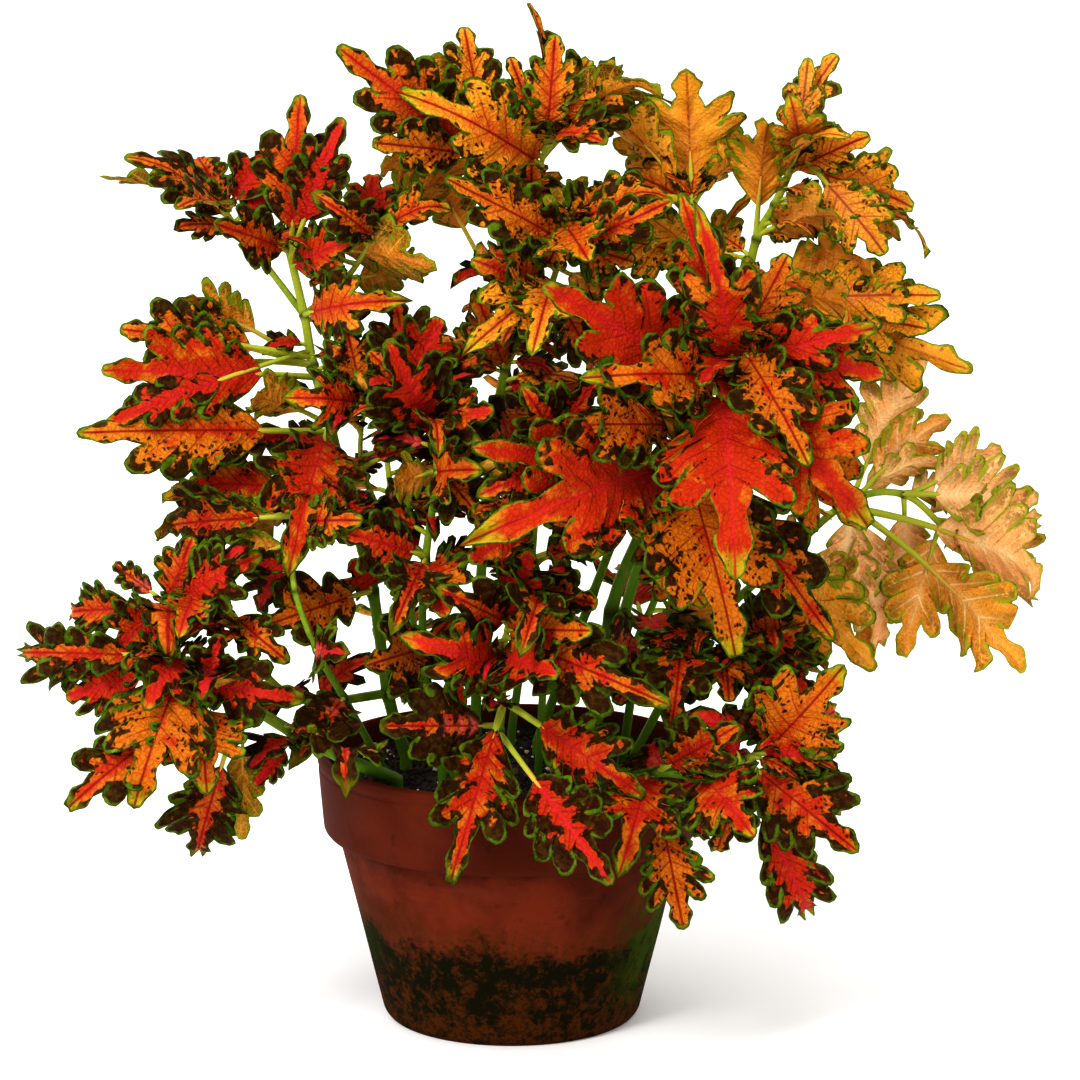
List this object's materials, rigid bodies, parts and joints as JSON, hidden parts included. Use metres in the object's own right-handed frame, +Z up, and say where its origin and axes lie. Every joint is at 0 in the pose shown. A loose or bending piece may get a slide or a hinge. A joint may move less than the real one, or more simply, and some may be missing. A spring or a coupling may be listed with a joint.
{
  "type": "potted coleus",
  "caption": "Bushy coleus with deeply lobed orange-red leaves, dark blotches and green margins, growing in soil in a tapered clay flowerpot with a deep band.",
  "frame": {"origin": "on the pot's axis, on the surface that the pot stands on: the centre of the pot's flat base", "axes": "+Z up along the pot's axis, -Y towards the plant's best side, +X to the right seen from that side"},
  "size_m": [0.3572, 0.2809, 0.3534],
  "materials": {
    "terracotta": "matte",
    "potting_soil": "matte",
    "foliage": "satin"
  },
  "bodies": {
    "root": {"pot": "terracotta", "soil": "potting_soil", "shoot_left_high": "foliage", "shoot_left_low": "foliage", "shoot_left_inner": "foliage", "shoot_centre_left": "foliage", "shoot_centre_high": "foliage", "shoot_right_high": "foliage", "shoot_top_mid": "foliage", "shoot_right_head": "foliage", "shoot_right_side": "foliage", "shoot_right_inner": "foliage", "shoot_right_low": "foliage", "shoot_front": "foliage", "shoot_centre_low": "foliage", "shoot_back_left": "foliage", "shoot_back_centre": "foliage", "shoot_back_right": "foliage"}
  },
  "joints": []
}
